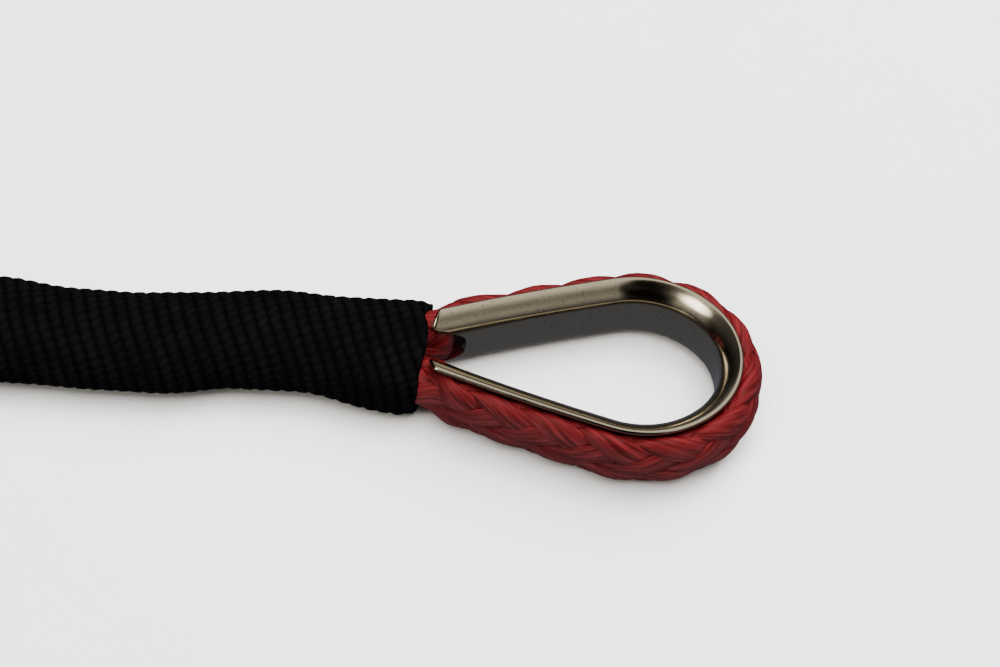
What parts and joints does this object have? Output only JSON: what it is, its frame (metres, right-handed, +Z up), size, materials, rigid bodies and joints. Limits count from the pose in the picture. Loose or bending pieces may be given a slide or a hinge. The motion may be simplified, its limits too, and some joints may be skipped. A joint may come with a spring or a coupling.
{
  "type": "thimble eye",
  "caption": "Winch rope's end: a braided synthetic rope eye spliced round a stainless teardrop thimble, with a sliding chafe sleeve over the splice and the spare rope in a hank.",
  "frame": {"origin": "under the middle of the eye, its splice and its sleeve, on the surface they lie on, leaving out the free rope and its hank", "axes": "+X along the rope towards the crown of the eye, +Z up, square to the eye's flat plane; the hank lies behind the splice"},
  "size_m": [0.5506, 0.1236, 0.1058],
  "materials": {
    "stainless": "polished stainless steel sheet, bent to a flared channel, with fine pitting on the flanges",
    "red_rope": "deep red coated high-modulus polyethylene filament, satin, twelve-strand braid",
    "black_sleeve": "near-black braided polyester sleeving, matt with a faint sheen on each yarn",
    "whipping_twine": "waxed black twine",
    "strap": "black woven hook-and-loop strap",
    "heat_shrink": "black polyolefin heat-shrink tube",
    "tinned_copper": "tin-plated copper tube lug"
  },
  "bodies": {
    "rope_eye": {"thimble": "stainless", "eye_strand_s1": "red_rope", "eye_strand_z1": "red_rope", "eye_strand_s2": "red_rope", "eye_strand_z2": "red_rope", "eye_strand_s3": "red_rope", "eye_strand_z3": "red_rope", "eye_strand_s4": "red_rope", "eye_strand_z4": "red_rope", "eye_strand_s5": "red_rope", "eye_strand_z5": "red_rope", "eye_strand_s6": "red_rope", "eye_strand_z6": "red_rope", "splice_outer_braid": "red_rope", "buried_tail": "red_rope", "throat_whipping": "whipping_twine", "free_rope": "red_rope", "rope_hank": "red_rope", "hank_tie_1": "strap", "hank_tie_2": "strap", "hank_tie_3": "strap", "rope_end": "red_rope", "end_heat_shrink": "heat_shrink", "terminal_lug": "tinned_copper"},
    "sleeve": {"chafe_sleeve": "black_sleeve"}
  },
  "joints": [
    {"name": "sleeve_slide", "type": "slide", "parent": "rope_eye", "child": "sleeve", "axis": [-1, 0, 0], "range_m": [0, 0.05]}
  ]
}
